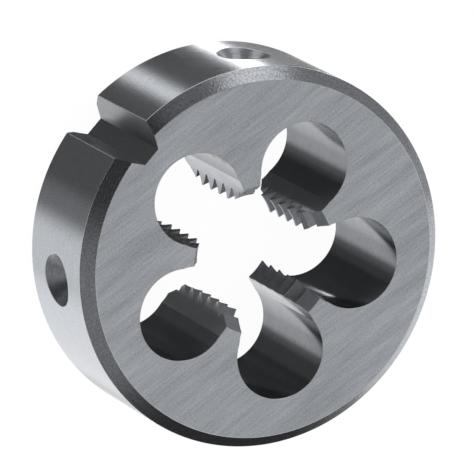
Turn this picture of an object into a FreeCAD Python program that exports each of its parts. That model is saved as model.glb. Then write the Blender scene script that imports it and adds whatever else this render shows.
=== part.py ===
import FreeCAD, Part
import math
import os

# A round adjustable threading die for M14 x 2, in millimetres.
# It lies on its back face. The origin is the centre of that face, and +Z runs along the axis
# to the front face. The notch for the adjusting screw looks towards -Y.

# Body
outer_radius = 19.0
thickness = 14.0
front_chamfer = 1.2
back_chamfer = 1.1

# Metric thread, right-handed. The teeth end at the crest radius, which cuts the screw's root.
pitch = 2.0
thread_radius = 7.0
flank_angle = 60.0
thread_depth = 0.6134 * pitch
groove_bottom_width = pitch / 8
groove_start_height = -2.5
crest_radius = thread_radius - thread_depth

# Lead-in cones, one at each face, a little wider than the thread
mouth_clearance = 0.45
lead_in_angle = 60.0
mouth_radius = thread_radius + mouth_clearance

# Chip holes. Each is drilled round, then its two cutting faces are ground with a smaller wheel.
chip_hole_count = 5
chip_hole_radius = 4.58
chip_hole_reach = 9.73
grinding_radius = 4.15
grinding_reach = 8.54
hole_step = 360.0 / chip_hole_count

# Notch for the adjusting screw, a V with a flat bottom, as long as the die is thick
notch_direction = -90.0
notch_angle = 60.0
notch_depth = 2.5
notch_bottom_width = 2.0

# Conical seats for the clamping screws, at each side of the notch and opposite it
seat_angle = 90.0
seat_mouth_radius = 2.8
seat_offset = 49.0

# How far a cutting shape reaches past what it cuts
overrun = 1.0
thread_overrun = 0.2


def around(angle, distance, height=0.0):
    """A point at a distance from the axis, in a direction given in degrees from +X."""
    turn = math.radians(angle)
    return FreeCAD.Vector(distance * math.cos(turn), distance * math.sin(turn), height)


def polygon(points):
    """A flat face with straight sides through the points."""
    return Part.Face(Part.makePolygon(points + points[:1]))


def blank():
    """The turned ring: rim with its two chamfers, and the bore with its two lead-in cones.

    Its section is drawn towards the notch, where the seams of the round faces are cut away.
    """
    lead_in = (mouth_radius - crest_radius) / math.tan(math.radians(lead_in_angle / 2))
    section = [
        (mouth_radius, 0.0),
        (outer_radius - back_chamfer, 0.0),
        (outer_radius, back_chamfer),
        (outer_radius, thickness - front_chamfer),
        (outer_radius - front_chamfer, thickness),
        (mouth_radius, thickness),
        (crest_radius, thickness - lead_in),
        (crest_radius, lead_in),
    ]
    face = polygon([around(notch_direction, radius, height) for radius, height in section])
    return face.revolve(FreeCAD.Vector(0, 0, 0), FreeCAD.Vector(0, 0, 1), 360)


def through_drill(angle, reach, radius):
    """A round cutter parallel to the axis, long enough to pass both faces."""
    start = around(angle, reach, -overrun)
    return Part.makeCylinder(radius, thickness + 2 * overrun, start)


def chip_hole(angle):
    """One chip hole: the drilled round and the two ground cutting faces beside it."""
    drilled = through_drill(angle, chip_hole_reach, chip_hole_radius)
    ground = through_drill(angle, grinding_reach, grinding_radius)
    return drilled.fuse(ground)


def notch():
    """The V cut in the rim, seen from above, pushed through the whole thickness."""
    bottom = outer_radius - notch_depth
    top = outer_radius + overrun
    half_bottom = notch_bottom_width / 2
    half_top = half_bottom + (top - bottom) * math.tan(math.radians(notch_angle / 2))
    outline = [
        FreeCAD.Vector(bottom, -half_bottom, -overrun),
        FreeCAD.Vector(top, -half_top, -overrun),
        FreeCAD.Vector(top, half_top, -overrun),
        FreeCAD.Vector(bottom, half_bottom, -overrun),
    ]
    cutter = polygon(outline).extrude(FreeCAD.Vector(0, 0, thickness + 2 * overrun))
    cutter.rotate(FreeCAD.Vector(0, 0, 0), FreeCAD.Vector(0, 0, 1), notch_direction)
    return cutter


def screw_seat(angle):
    """A pointed seat in the rim, halfway up, for the tip of a clamping screw."""
    slope = math.tan(math.radians(seat_angle / 2))
    depth = seat_mouth_radius / slope
    length = depth + overrun
    tip = around(angle, outer_radius - depth, thickness / 2)
    return Part.makeCone(0, length * slope, length, tip, around(angle, 1.0))


def groove_stretch(angle, height):
    """The groove between two teeth across one land, swept along the right-handed helix.

    The stretch is centred on the land at the given angle, at the given height there, and
    ends in the chip holes at both sides.
    """
    inner = crest_radius - thread_overrun
    half_bottom = groove_bottom_width / 2
    half_inner = half_bottom + (thread_radius - inner) * math.tan(math.radians(flank_angle / 2))
    section = Part.makePolygon([
        FreeCAD.Vector(inner, 0, -half_inner),
        FreeCAD.Vector(thread_radius, 0, -half_bottom),
        FreeCAD.Vector(thread_radius, 0, half_bottom),
        FreeCAD.Vector(inner, 0, half_inner),
        FreeCAD.Vector(inner, 0, -half_inner),
    ])
    rise = pitch * hole_step / 2 / 360
    path = Part.makeHelix(pitch, rise, thread_radius)
    stretch = Part.Wire(path).makePipeShell([section], True, True)
    stretch.rotate(FreeCAD.Vector(0, 0, 0), FreeCAD.Vector(0, 0, 1), angle - hole_step / 4)
    stretch.translate(FreeCAD.Vector(0, 0, height - rise / 2))
    return stretch


def thread_grooves():
    """Every groove between the teeth, land by land. One turn of the helix rises one pitch."""
    stretches = []
    for land in range(chip_hole_count):
        angle = notch_direction + hole_step * (land + 0.5)
        height = groove_start_height + pitch * angle / 360
        while height < thickness + pitch:
            stretches.append(groove_stretch(angle, height))
            height += pitch
    return stretches


def die():
    """The whole die, one piece of steel."""
    holes = [chip_hole(notch_direction + hole_step * i) for i in range(chip_hole_count)]
    seat_angles = [seat_offset, 180 - seat_offset, 180 + seat_offset, -seat_offset]
    seats = [screw_seat(notch_direction + angle) for angle in seat_angles]
    body = blank().cut(holes + [notch()] + seats)
    return body.cut(thread_grooves())


os.makedirs("parts", exist_ok=True)
die().exportStep("parts/die.step")
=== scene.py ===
import math

import bmesh
import bpy
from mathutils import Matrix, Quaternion, Vector


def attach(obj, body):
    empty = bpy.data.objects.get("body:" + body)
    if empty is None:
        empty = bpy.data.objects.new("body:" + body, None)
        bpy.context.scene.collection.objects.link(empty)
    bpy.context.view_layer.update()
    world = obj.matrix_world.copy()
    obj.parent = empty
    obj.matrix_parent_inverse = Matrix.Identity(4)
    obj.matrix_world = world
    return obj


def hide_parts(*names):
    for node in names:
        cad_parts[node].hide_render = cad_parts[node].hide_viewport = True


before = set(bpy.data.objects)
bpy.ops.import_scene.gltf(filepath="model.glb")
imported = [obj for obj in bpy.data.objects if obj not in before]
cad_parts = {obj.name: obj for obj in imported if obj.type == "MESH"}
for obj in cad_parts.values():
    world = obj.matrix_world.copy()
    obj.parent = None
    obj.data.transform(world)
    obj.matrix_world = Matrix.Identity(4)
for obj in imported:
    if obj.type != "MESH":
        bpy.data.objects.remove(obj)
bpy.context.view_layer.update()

# Sizes in millimetres and degrees, as in the CAD source. The mesh is scaled to metres at the end.
OUTER_RADIUS = 19.0
THICKNESS = 14.0
FRONT_CHAMFER = 1.2
BACK_CHAMFER = 1.1
PITCH = 2.0
THREAD_RADIUS = 7.0
THREAD_DEPTH = 0.6134 * PITCH
CREST_RADIUS = THREAD_RADIUS - THREAD_DEPTH
FLANK_ANGLE = 60.0
GROOVE_BOTTOM = PITCH / 8
GROOVE_START = -2.5
MOUTH_RADIUS = 7.45
LEAD_IN_ANGLE = 60.0
HOLE_COUNT = 5
HOLE_STEP = 360.0 / HOLE_COUNT
HOLE_RADIUS = 4.58
HOLE_REACH = 9.73
GRINDING_RADIUS = 4.15
GRINDING_REACH = 8.54
NOTCH_DIRECTION = -90.0
NOTCH_ANGLE = 60.0
NOTCH_DEPTH = 2.5
NOTCH_BOTTOM = 2.0
SEAT_MOUTH = 2.8  # also the depth of a seat, whose included angle is 90 degrees
SEAT_OFFSET = 49.0
HOLE_ANGLES = [NOTCH_DIRECTION + HOLE_STEP * i for i in range(HOLE_COUNT)]
SEAT_OFFSETS = [SEAT_OFFSET, 180 - SEAT_OFFSET, 180 + SEAT_OFFSET, -SEAT_OFFSET]
SEAT_ANGLES = [NOTCH_DIRECTION + offset for offset in SEAT_OFFSETS]

# The small break on every edge but the teeth. At the lips of the notch and of the seats, the cutter widens by
# the second of two values while it goes outwards by the first.
EDGE = 0.03
NOTCH_BREAK = (2 * EDGE, 4 * EDGE)
SEAT_BREAK = (3 * EDGE, 5 * EDGE)

# How far a cutting shape reaches past the flat faces, past the rim and inside the teeth
OVERRUN = 1.0
RIM_OVERRUN = 2.0
THREAD_OVERRUN = 0.2

# Fineness of the mesh
RING_STEPS = 540
DRILLED_SIDES = 96
GROUND_SIDES = 64
SEAT_SIDES = 96
SEAT_TIP = 0.02  # the radius at which a seat's point ends
SEAT_ROUNDS = 30  # in which a seat's mouth is fitted to the round rim
GROOVE_STEPS = 24
MERGE_DISTANCE = 0.0005  # points nearer than this become one
SLIVER = 0.0003  # faces and edges smaller than this are removed
SHARP_ANGLE = 12.0  # edges that turn by more than this aren't smoothed

MM = 0.001  # in metres
SCALE = MM * 0.9997  # to metres, and a hair inside the CAD body
GRIND_DIRECTION = 166.0  # of the grinding lines on the flat faces, from +X

# Finishes and painted shade, one for each kind of surface. The die is one steel, so the greys darker than
# GREY, in the chip holes, the bore, the thread grooves and the notch, are painted shade in these recesses,
# and the lighter colour of the edges is a painted highlight. Each layer of marks has a length along the path
# of the tool and a width across it, in millimetres, and a strength.
GREY = (0.56, 0.585, 0.625)
# GREY darkened as painted shade, for the ground sides and the drilled walls inside the chip holes
GROUND_SHADE_GREY = (0.45, 0.47, 0.5)
HOLE_SHADE_GREY = (0.27, 0.28, 0.3)
FINISHES_AND_SHADE = {
    "face": dict(
        colour=GREY,
        roughness=0.3,
        brushed=0.6,
        layers=[(4, 0.15, 0.45), (14, 1.3, 0.45), (0.2, 0.16, 0.55), (12, 6, 0.2)],
        bump=0.13,
    ),
    "rim": dict(
        colour=GREY,
        roughness=0.13,
        brushed=0.6,
        layers=[(0.22, 0.17, 0.5), (1.5, 0.12, 0.3), (6, 0.5, 0.12)],
        bump=0.2,
    ),
    "chamfer": dict(
        colour=GREY,
        roughness=0.16,
        layers=[(0.26, 0.2, 0.9), (2, 0.4, 0.3)],
        bump=0.6,
        spread=0.4,
    ),
    # the drilled walls of the chip holes: steel darkened to about half, painted shade in the holes
    "hole": dict(
        colour=HOLE_SHADE_GREY,
        roughness=0.18,
        brushed=0.3,
        layers=[(0.8, 0.15, 0.35), (0.2, 0.16, 0.4), (3, 2, 0.2)],
        bump=0.1,
    ),
    # the ground sides of the chip holes: steel darkened, painted shade in the holes
    "ground": dict(
        colour=GROUND_SHADE_GREY,
        roughness=0.2,
        brushed=0.3,
        layers=[(0.3, 3, 0.3), (0.2, 0.16, 0.4), (1.5, 4, 0.2)],
        bump=0.1,
    ),
    # the crests in the bore: steel darkened, painted shade in the bore
    "bore": dict(colour=(0.36, 0.375, 0.4), roughness=0.4, layers=[(1, 0.15, 0.5)], bump=0.1),
    "cone": dict(colour=GREY, roughness=0.5, layers=[(1, 0.15, 0.5)], bump=0.1, metallic=0.9),
    # the thread grooves: steel slightly darkened, painted shade in the grooves
    "thread": dict(colour=(0.5, 0.52, 0.55), roughness=0.5, layers=[(0.6, 0.3, 0.5)], bump=0.1),
    # the notch: steel darkened, painted shade in the notch
    "notch": dict(colour=(0.3, 0.315, 0.33), roughness=0.33, layers=[(0.3, 0.3, 0.5)], bump=0.1),
    "seat": dict(
        colour=GREY,
        roughness=0.32,
        layers=[(0.25, 0.2, 0.6), (0.5, 0.16, 0.4)],
        bump=0.9,
        spread=0.3,
    ),
    # the broken edges: lighter than the steel and partly diffuse, a painted highlight along the edges
    "edge": dict(colour=(0.72, 0.74, 0.77), roughness=0.3, layers=[(0.5, 0.2, 0.4)], metallic=0.8),
}
KINDS = list(FINISHES_AND_SHADE)
MARKS_RANGE = 0.4  # marks reach their lightest and darkest at this distance from 0
DARKEST = 0.6  # of the finish's colour
LIGHTEST = 1.4
MARKS_DEPTH = 0.00002  # in metres
QUARTER_TURN = 0.25  # lays the stretched highlights across the marks


class Shell:
    """Closed surfaces gathered in one mesh, each face with the kind of finish it has."""

    def __init__(self):
        self.points = []
        self.faces = []
        self.kinds = []

    def add_face(self, corners, kind):
        self.faces.append(corners)
        self.kinds.append(KINDS.index(kind))

    def loft(self, loops, kinds, capped=True):
        """Joins loops of points one to the next. kinds has the finish of each band between two loops.

        A band's finish is one name, or a list with a name for each of its sides. The band after the last
        loop, if there is one, goes back to the first.
        """
        first = len(self.points)
        count = len(loops[0])
        for loop in loops:
            self.points.extend(loop)
        for i, band in enumerate(kinds):
            low = first + i * count
            high = first + (i + 1) % len(loops) * count
            for j in range(count):
                k = (j + 1) % count
                kind = band if isinstance(band, str) else band[j]
                self.add_face((low + j, low + k, high + k, high + j), kind)
        if capped:
            last = first + (len(loops) - 1) * count
            self.add_face(tuple(first + j for j in reversed(range(count))), "edge")
            self.add_face(tuple(last + j for j in range(count)), "edge")

    def make(self, name, materials):
        """Makes the object, with every face turned outwards."""
        mesh = bpy.data.meshes.new(name)
        mesh.from_pydata(self.points, [], self.faces)
        for material in materials:
            mesh.materials.append(material)
        mesh.polygons.foreach_set("material_index", self.kinds)
        mesh.update()
        work = bmesh.new()
        work.from_mesh(mesh)
        bmesh.ops.recalc_face_normals(work, faces=work.faces)
        work.to_mesh(mesh)
        work.free()
        thing = bpy.data.objects.new(name, mesh)
        bpy.context.scene.collection.objects.link(thing)
        return thing


def turned(point, angle):
    """A point (outward, sideways, up) turned about the axis by an angle in degrees."""
    c, s = math.cos(math.radians(angle)), math.sin(math.radians(angle))
    x, y, z = point
    return (x * c - y * s, x * s + y * c, z)


def slope(included_angle):
    """How far each side of a V or a cone leans out per unit of height."""
    return math.tan(math.radians(included_angle / 2))


def broken_section(corners, size):
    """A closed section with each corner cut back by a small flat. The flats have the finish 'edge'."""
    points, kinds = [], []
    for i, (corner, kind) in enumerate(corners):
        here = Vector(corner)
        before = Vector(corners[i - 1][0])
        after = Vector(corners[(i + 1) % len(corners)][0])
        points.append(here + (before - here).normalized() * size)
        kinds.append("edge")
        points.append(here + (after - here).normalized() * size)
        kinds.append(kind)
    return points, kinds


def blank(materials):
    """The turned ring with its chamfers and lead-in cones."""
    lead_in = (MOUTH_RADIUS - CREST_RADIUS) / slope(LEAD_IN_ANGLE)
    corners = [
        ((CREST_RADIUS, lead_in), "cone"),
        ((MOUTH_RADIUS, 0.0), "face"),
        ((OUTER_RADIUS - BACK_CHAMFER, 0.0), "chamfer"),
        ((OUTER_RADIUS, BACK_CHAMFER), "rim"),
        ((OUTER_RADIUS, THICKNESS - FRONT_CHAMFER), "chamfer"),
        ((OUTER_RADIUS - FRONT_CHAMFER, THICKNESS), "face"),
        ((MOUTH_RADIUS, THICKNESS), "cone"),
        ((CREST_RADIUS, THICKNESS - lead_in), "bore"),
    ]
    section, kinds = broken_section(corners, EDGE)
    turns = [360.0 * i / RING_STEPS for i in range(RING_STEPS)]
    loops = [[turned((radius, 0, height), turn) for turn in turns] for radius, height in section]
    shell = Shell()
    shell.loft(loops, kinds, capped=False)
    return shell.make("die_body", materials)


def hole_outline(widened):
    """The outline of a chip hole: the drilled circle, then the circle ground into its inner side."""
    drilled, ground = HOLE_RADIUS + widened, GRINDING_RADIUS + widened
    apart = HOLE_REACH - GRINDING_REACH
    inward = (apart**2 + drilled**2 - ground**2) / (2 * apart)
    drilled_end = math.pi - math.acos(inward / drilled)
    ground_end = math.acos((inward - apart) / ground)
    outline = []
    for i in range(DRILLED_SIDES + 1):
        t = drilled_end * (2 * i / DRILLED_SIDES - 1)
        outline.append((HOLE_REACH + drilled * math.cos(t), drilled * math.sin(t)))
    for i in range(1, GROUND_SIDES):
        t = math.pi - ground_end + 2 * ground_end * i / GROUND_SIDES
        outline.append((GRINDING_REACH + ground * math.cos(t), ground * math.sin(t)))
    return outline


def hole_kinds():
    """The finish of each side of a chip hole."""
    return ["hole"] * DRILLED_SIDES + ["ground"] * GROUND_SIDES


def notch_outline(widened):
    """The outline of the adjusting notch, with a break where its sides meet the rim."""
    bottom = OUTER_RADIUS - NOTCH_DEPTH
    side = widened / math.cos(math.radians(NOTCH_ANGLE / 2))
    outwards, sideways = NOTCH_BREAK

    def half(x):
        return NOTCH_BOTTOM / 2 + side + (x - bottom) * slope(NOTCH_ANGLE)

    lip = math.sqrt(OUTER_RADIUS**2 - half(OUTER_RADIUS) ** 2) - EDGE
    end = OUTER_RADIUS + RIM_OVERRUN
    right = [
        (bottom - widened, half(bottom - widened)),
        (lip, half(lip)),
        (lip + outwards, half(lip) + sideways),
        (end, half(end) + sideways),
    ]
    return right + [(x, -y) for x, y in reversed(right)]


def notch_kinds():
    """The finish of each side of the notch's outline, where the break at each lip is an edge."""
    side = ["notch", "edge", "notch"]
    return side + ["notch"] + side + ["notch"]


def through_cut(shell, angle, outline, kinds):
    """A cutter along the axis past both faces, flared at each face so that the edges are broken.

    outline gives its points for a widening, and kinds has the finish of each of its sides.
    """
    flare = OVERRUN + EDGE
    levels = [(-OVERRUN, flare), (EDGE, 0.0), (THICKNESS - EDGE, 0.0), (THICKNESS + OVERRUN, flare)]
    loops = [[turned((x, y, height), angle) for x, y in outline(widened)] for height, widened in levels]
    shell.loft(loops, ["edge", kinds, "edge"])


def seat_cut(shell, angle):
    """A pointed seat in the rim, with its mouth edge broken."""
    tip = OUTER_RADIUS - SEAT_MOUTH
    outwards, sideways = SEAT_BREAK
    loops = [[], [], [], []]
    for i in range(SEAT_SIDES):
        t = 2 * math.pi * i / SEAT_SIDES
        side, up = math.cos(t), math.sin(t)
        # The mouth dips where the rim curves away. Each round comes nearer to its radius there.
        wide = SEAT_MOUTH
        for _ in range(SEAT_ROUNDS):
            wide = math.sqrt((OUTER_RADIUS - EDGE) ** 2 - (wide * side) ** 2) - tip
        mouth = tip + wide
        rings = [
            (tip, SEAT_TIP),
            (mouth, wide),
            (mouth + outwards, wide + sideways),
            (OUTER_RADIUS + RIM_OVERRUN, wide + sideways),
        ]
        for loop, (out, r) in zip(loops, rings):
            loop.append(turned((out, r * side, THICKNESS / 2 + r * up), angle))
    shell.loft(loops, ["seat", "edge", "edge"])


def groove_cut(shell, angle, height):
    """The groove between two teeth across one land, on the right-handed helix."""
    inner = CREST_RADIUS - THREAD_OVERRUN
    half_bottom = GROOVE_BOTTOM / 2
    half_inner = half_bottom + (THREAD_RADIUS - inner) * slope(FLANK_ANGLE)
    corners = [
        (inner, -half_inner),
        (THREAD_RADIUS, -half_bottom),
        (THREAD_RADIUS, half_bottom),
        (inner, half_inner),
    ]
    loops = []
    for i in range(GROOVE_STEPS + 1):
        turn = HOLE_STEP / 2 * (i / GROOVE_STEPS - 0.5)
        rise = height + PITCH * turn / 360
        loops.append([turned((r, 0, rise + z), angle + turn) for r, z in corners])
    shell.loft(loops, ["thread"] * GROOVE_STEPS)


def openings(materials):
    """What is cut first: the chip holes, the notch and the screw seats."""
    shell = Shell()
    for angle in HOLE_ANGLES:
        through_cut(shell, angle, hole_outline, hole_kinds())
    through_cut(shell, NOTCH_DIRECTION, notch_outline, notch_kinds())
    for angle in SEAT_ANGLES:
        seat_cut(shell, angle)
    return shell.make("openings", materials)


def grooves(materials):
    """Every groove between the teeth, land by land. One turn of the helix rises one pitch."""
    shell = Shell()
    for land in range(HOLE_COUNT):
        angle = NOTCH_DIRECTION + HOLE_STEP * (land + 0.5)
        height = GROOVE_START + PITCH * angle / 360
        while height < THICKNESS + PITCH:
            groove_cut(shell, angle, height)
            height += PITCH
    return shell.make("grooves", materials)


def subtract(body, tool):
    """Cuts the tool out of the body and removes the tool."""
    cut = body.modifiers.new("cut", "BOOLEAN")
    cut.operation = "DIFFERENCE"
    cut.solver = "EXACT"
    cut.object = tool
    cut.material_mode = "INDEX"
    graph = bpy.context.evaluated_depsgraph_get()
    result = bpy.data.meshes.new_from_object(body.evaluated_get(graph))
    body.modifiers.clear()
    body.data = result
    bpy.data.objects.remove(tool)


def flat_place(x, y):
    """Along and across the grinding lines of the flat faces."""
    along = math.radians(GRIND_DIRECTION)
    return x * math.cos(along) + y * math.sin(along), y * math.cos(along) - x * math.sin(along)


def round_place(x, y, up, centre, radius, middle):
    """Round and up a cylinder. middle is the direction in which the face lies, so that no seam crosses it."""
    angle = math.atan2(y - centre[1], x - centre[0])
    turns = round((middle - angle) / (2 * math.pi))
    return (angle + turns * 2 * math.pi) * radius, up


def seat_place(point, seat):
    """A point's place (sideways, up) from the middle of the screw seat at an angle in degrees."""
    _, side, up = turned(point, -seat)
    return side, up - THICKNESS / 2 * MM


def lay_out(mesh):
    """Gives every face a place along (u) and across (v) the marks of its tool, in metres."""
    lay = mesh.uv_layers.new(name="lay")
    holes = [turned((HOLE_REACH * MM, 0, 0), angle) for angle in HOLE_ANGLES]
    for face in mesh.polygons:
        kind = KINDS[face.material_index]
        middle = face.center
        centre, radius = (0, 0), OUTER_RADIUS * MM
        if kind in ("hole", "ground"):
            centre = min(holes, key=lambda c: (middle.x - c[0]) ** 2 + (middle.y - c[1]) ** 2)
            radius = HOLE_RADIUS * MM
        if kind in ("bore", "cone", "thread"):
            radius = THREAD_RADIUS * MM
        direction = math.atan2(middle.y - centre[1], middle.x - centre[0])
        if kind == "seat":
            seat = min(SEAT_ANGLES, key=lambda a: abs((math.degrees(direction) - a + 180) % 360 - 180))
            side, up = seat_place(middle, seat)
            direction = math.atan2(up, side)
        for corner in face.loop_indices:
            point = mesh.vertices[mesh.loops[corner].vertex_index].co
            x, y, z = point
            if kind == "face":
                place = flat_place(x, y)
            elif kind == "notch":
                place = (z, x)
            elif kind == "seat":
                side, up = seat_place(point, seat)
                place = round_place(side, up, math.hypot(side, up), centre, MM, direction)
            else:
                place = round_place(x, y, z, centre, radius, direction)
            lay.data[corner].uv = place


def die(materials):
    """The whole die as one closed mesh in metres."""
    body = blank(materials)
    subtract(body, openings(materials))
    subtract(body, grooves(materials))
    work = bmesh.new()
    work.from_mesh(body.data)
    bmesh.ops.remove_doubles(work, verts=work.verts, dist=MERGE_DISTANCE)
    bmesh.ops.dissolve_degenerate(work, edges=work.edges, dist=SLIVER)
    bmesh.ops.scale(work, vec=(SCALE, SCALE, SCALE), verts=work.verts)
    work.to_mesh(body.data)
    work.free()
    for polygon in body.data.polygons:
        polygon.use_smooth = True
    body.data.set_sharp_from_angle(angle=math.radians(SHARP_ANGLE))
    lay_out(body.data)
    return body


def new_node(tree, kind, inputs=(), **values):
    """Adds a node with its settings, and its inputs by name or place as numbers, colours or links."""
    node = tree.nodes.new(kind)
    for name, value in values.items():
        setattr(node, name, value)
    for name, value in dict(inputs).items():
        socket = node.inputs[name]
        if isinstance(value, bpy.types.NodeSocket):
            tree.links.new(value, socket)
        else:
            socket.default_value = value
    return node


def math_node(tree, operation, a, b):
    return new_node(tree, "ShaderNodeMath", {0: a, 1: b}, operation=operation).outputs[0]


def vector_node(tree, operation, a, b):
    return new_node(tree, "ShaderNodeVectorMath", {0: a, 1: b}, operation=operation).outputs


def map_range(tree, value, start, end, first, last, **settings):
    """first where the value is start, last where it is end, and in between them the rest of the way."""
    inputs = {"Value": value, "From Min": start, "From Max": end, "To Min": first, "To Max": last}
    return new_node(tree, "ShaderNodeMapRange", inputs, **settings).outputs[0]


def marks(tree, place, length, width):
    """A noise about 0. Its features have a length along the tool's path and a width across it, in mm."""
    scaled = vector_node(tree, "MULTIPLY", place, (1 / MM / length, 1 / MM / width, 1))[0]
    inputs = {"Vector": scaled, "Scale": 1.0, "Detail": 2.0, "Roughness": 0.6}
    noise = new_node(tree, "ShaderNodeTexNoise", inputs, noise_dimensions="2D")
    return math_node(tree, "SUBTRACT", noise.outputs["Fac"], 0.5)


def steel(name, colour, roughness, layers, brushed=0.0, bump=0.0, spread=0.15, metallic=1.0):
    """Bright tool steel. Its marks change its colour, and its roughness by the share spread.

    brushed is how much its highlights stretch across the marks, and bump how deep the first layer is.
    """
    material = bpy.data.materials.new(name)
    material.use_nodes = True
    tree = material.node_tree
    shader = tree.nodes["Principled BSDF"]
    place = new_node(tree, "ShaderNodeUVMap", uv_map="lay").outputs[0]
    raised = [marks(tree, place, length, width) for length, width, _ in layers]
    total = 0.0
    for layer, (_, _, strength) in zip(raised, layers):
        total = math_node(tree, "ADD", total, math_node(tree, "MULTIPLY", layer, strength))
    factor = map_range(tree, total, -MARKS_RANGE, MARKS_RANGE, 0.0, 1.0)
    dark = tuple(c * DARKEST for c in colour) + (1,)
    light = tuple(min(1, c * LIGHTEST) for c in colour) + (1,)
    mixed = new_node(tree, "ShaderNodeMix", {"Factor": factor, 6: dark, 7: light}, data_type="RGBA")
    tree.links.new(mixed.outputs[2], shader.inputs["Base Color"])
    smoother, rougher = roughness * (1 - spread), roughness * (1 + spread)
    rough = map_range(tree, total, -MARKS_RANGE, MARKS_RANGE, rougher, smoother)
    tree.links.new(rough, shader.inputs["Roughness"])
    shader.inputs["Metallic"].default_value = metallic
    if brushed:
        shader.inputs["Anisotropic"].default_value = brushed
        shader.inputs["Anisotropic Rotation"].default_value = QUARTER_TURN
        tangent = new_node(tree, "ShaderNodeTangent", direction_type="UV_MAP", uv_map="lay")
        tree.links.new(tangent.outputs[0], shader.inputs["Tangent"])
    if bump:
        inputs = {"Height": raised[0], "Strength": bump, "Distance": MARKS_DEPTH}
        bumped = new_node(tree, "ShaderNodeBump", inputs)
        tree.links.new(bumped.outputs[0], shader.inputs["Normal"])
    return material


piece = die([steel(kind, **finish) for kind, finish in FINISHES_AND_SHADE.items()])
piece.name = "die_steel"
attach(piece, "root")
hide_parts("die")

# Camera, fitted to the edges of the die in the photograph. Places are in metres, and the roll in degrees.
CAMERA_PLACE = (0.066518, -0.312459, 0.605054)
CAMERA_AIM = (-0.000629, -0.000253, 0.007)
CAMERA_ROLL = 118.656
CAMERA_LENS = 526.9
camera_data = bpy.data.cameras.new("camera")
camera = bpy.data.objects.new("camera", camera_data)
bpy.context.scene.collection.objects.link(camera)
camera_data.sensor_width = 36.0
camera_data.lens = CAMERA_LENS
camera_data.clip_start = 0.05
camera_data.clip_end = 10.0
camera.location = Vector(CAMERA_PLACE)
level = (Vector(CAMERA_AIM) - camera.location).to_track_quat("-Z", "Y")
camera.rotation_mode = "QUATERNION"
camera.rotation_quaternion = level @ Quaternion((0, 0, 1), math.radians(CAMERA_ROLL))
bpy.context.scene.camera = camera


def surface(name, points, faces, material):
    """An open surface of the scene, no part of the die."""
    mesh = bpy.data.meshes.new(name)
    mesh.from_pydata(points, [], faces)
    mesh.materials.append(material)
    thing = bpy.data.objects.new(name, mesh)
    bpy.context.scene.collection.objects.link(thing)
    return thing


def floor_paint():
    """Nearly white to the camera, with the die's faint shadow, and dark to every other ray."""
    material = bpy.data.materials.new("floor_paint")
    material.use_nodes = True
    tree = material.node_tree
    tree.nodes.clear()
    matt = new_node(tree, "ShaderNodeBsdfDiffuse", {"Color": (0.06, 0.06, 0.06, 1)})
    glow = new_node(tree, "ShaderNodeEmission", {"Color": (1, 1, 1, 1), "Strength": 0.96})
    seen = new_node(tree, "ShaderNodeLightPath").outputs["Is Camera Ray"]
    lit = new_node(tree, "ShaderNodeMixShader", {"Fac": seen, 2: glow.outputs[0]})
    both = new_node(tree, "ShaderNodeAddShader", {0: matt.outputs[0], 1: lit.outputs[0]})
    new_node(tree, "ShaderNodeOutputMaterial", {"Surface": both.outputs[0]})
    return material


# Floor, a hair below the die. Reflections don't see it, so that they see the lower half of the tent.
FLOOR_HALF = 3.0
FLOOR_HEIGHT = -0.00002
floor_corners = [(x * FLOOR_HALF, y * FLOOR_HALF, 0) for x, y in ((-1, -1), (1, -1), (1, 1), (-1, 1))]
floor = surface("floor", floor_corners, [(0, 1, 2, 3)], floor_paint())
floor.location.z = FLOOR_HEIGHT
floor.visible_glossy = False

# A dark card below the floor, which only reflections see. It shades the chip holes' far walls.
CARD_STEPS = 24
CARD_RADIUS = 0.024
CARD_START = 118.0
CARD_SPAN = 149.0
CARD_BOTTOM = -0.09
CARD_TOP = -0.022
card_turns = [CARD_START + CARD_SPAN * i / CARD_STEPS for i in range(CARD_STEPS + 1)]
card_points = [turned((CARD_RADIUS, 0, z), turn) for z in (CARD_BOTTOM, CARD_TOP) for turn in card_turns]
card_faces = [(i, i + 1, i + CARD_STEPS + 2, i + CARD_STEPS + 1) for i in range(CARD_STEPS)]
card_black = bpy.data.materials.new("card_black")
card_black.use_nodes = True
card_shader = card_black.node_tree.nodes["Principled BSDF"]
card_shader.inputs["Base Color"].default_value = (0.08, 0.08, 0.08, 1)
card_shader.inputs["Roughness"].default_value = 1.0
card = surface("dark_card", card_points, card_faces, card_black)
card.visible_camera = False
card.visible_diffuse = False
card.visible_shadow = False

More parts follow.
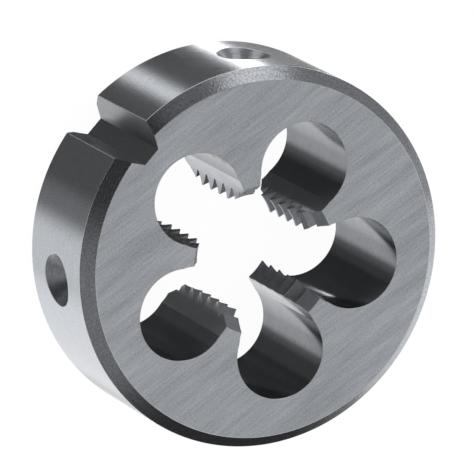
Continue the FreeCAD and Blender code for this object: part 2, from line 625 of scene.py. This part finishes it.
# Light: a plain white world, which the camera sees and which lights the floor. Metal mirrors a light tent
# there, with darker gaps between its panels. Each panel has a direction round the axis, a half width and
# the softness of its sides in degrees, the heights it spans as sines, and a strength.
BASE_LIGHT = 0.035
ALL_ROUND = 180
PANELS = [
    # direction, half width, softness, low, high, softness of height, strength
    (180, ALL_ROUND, 10, -1.1, -0.5, 0.12, 0.07),
    (-17, 14, 14, -1.1, -0.5, 0.12, 0.7),
    (40, 36, 9, -1.1, -0.6, 0.12, 0.88),
    (98, 16, 8, -1.1, -0.5, 0.12, 0.8),
    (137, 22, 12, -1.1, -0.5, 0.12, 0.17),
    (317, 13, 7, -1.1, -0.5, 0.12, 0.1),
    (166.5, 3, 4, -1.1, -0.5, 0.12, 4.3),
    (219.5, 3, 5, -1.1, -0.5, 0.12, 0.92),
    (108, 17, 2, -0.5, -0.2, 0.06, 0.38),
    (118, 20, 8, -0.5, -0.24, 0.06, 0.29),
    (165, 32, 12, -0.4, 0.3, 0.1, 0.21),
    (203, 6, 12, 0.1, 0.5, 0.1, 0.75),
    (185, 38, 10, -0.42, -0.28, 0.05, 0.9),
    (225, 20, 10, 0.1, 0.6, 0.1, 0.13),
    (345, 32, 20, 0.05, 0.5, 0.06, 0.2),
    (70, 110, 35, 0.58, 1.1, 0.08, 0.51),
    (95, 50, 12, 0.2, 0.6, 0.05, 0.65),
    (305, 32, 18, 0.55, 0.72, 0.05, 0.3),
    (225, 30, 14, -0.62, -0.1, 0.06, 0.8),
    (335, 28, 12, -0.62, -0.1, 0.06, 0.75),
    (20, 12, 8, -0.7, -0.08, 0.08, 0.3),
]


def smooth(tree, value, start, end):
    """0 at start, 1 at end, with soft ends."""
    return map_range(tree, value, start, end, 0.0, 1.0, interpolation_type="SMOOTHSTEP")


def panel_light(tree, around, height, panel):
    """The strength of one panel in each direction, given as its compass part and its sine of height."""
    direction, half_width, softness, low, high, height_softness, light = panel
    if half_width < ALL_ROUND:
        turn = math.radians(direction)
        facing = vector_node(tree, "DOT_PRODUCT", around, (math.cos(turn), math.sin(turn), 0))["Value"]
        outer = math.cos(math.radians(half_width + softness))
        inner = math.cos(math.radians(max(0, half_width - softness)))
        light = math_node(tree, "MULTIPLY", smooth(tree, facing, outer, inner), light)
    above = smooth(tree, height, low - height_softness, low + height_softness)
    below = smooth(tree, height, high + height_softness, high - height_softness)
    return math_node(tree, "MULTIPLY", math_node(tree, "MULTIPLY", light, above), below)


world = bpy.data.worlds.new("studio")
bpy.context.scene.world = world
world.use_nodes = True
tree = world.node_tree
tree.nodes.clear()
direction = new_node(tree, "ShaderNodeTexCoord").outputs["Generated"]
flat = vector_node(tree, "MULTIPLY", direction, (1, 1, 0))[0]
around = new_node(tree, "ShaderNodeVectorMath", {0: flat}, operation="NORMALIZE").outputs[0]
height = new_node(tree, "ShaderNodeSeparateXYZ", {0: direction}).outputs["Z"]
total = BASE_LIGHT
for panel in PANELS:
    total = math_node(tree, "ADD", total, panel_light(tree, around, height, panel))
tent = new_node(tree, "ShaderNodeBackground", {"Color": (1, 1, 1, 1), "Strength": total})
white = new_node(tree, "ShaderNodeBackground", {"Color": (1, 1, 1, 1), "Strength": 1.0})
ray = new_node(tree, "ShaderNodeLightPath").outputs
mirrored = math_node(tree, "MAXIMUM", ray["Is Glossy Ray"], ray["Is Transmission Ray"])
sky = new_node(tree, "ShaderNodeMixShader", {"Fac": mirrored, 1: white.outputs[0], 2: tent.outputs[0]})
new_node(tree, "ShaderNodeOutputWorld", {"Surface": sky.outputs[0]})
world.cycles.sampling_method = "NONE"  # so that every ray finds its own part of the world

bpy.context.scene.view_settings.view_transform = "Standard"
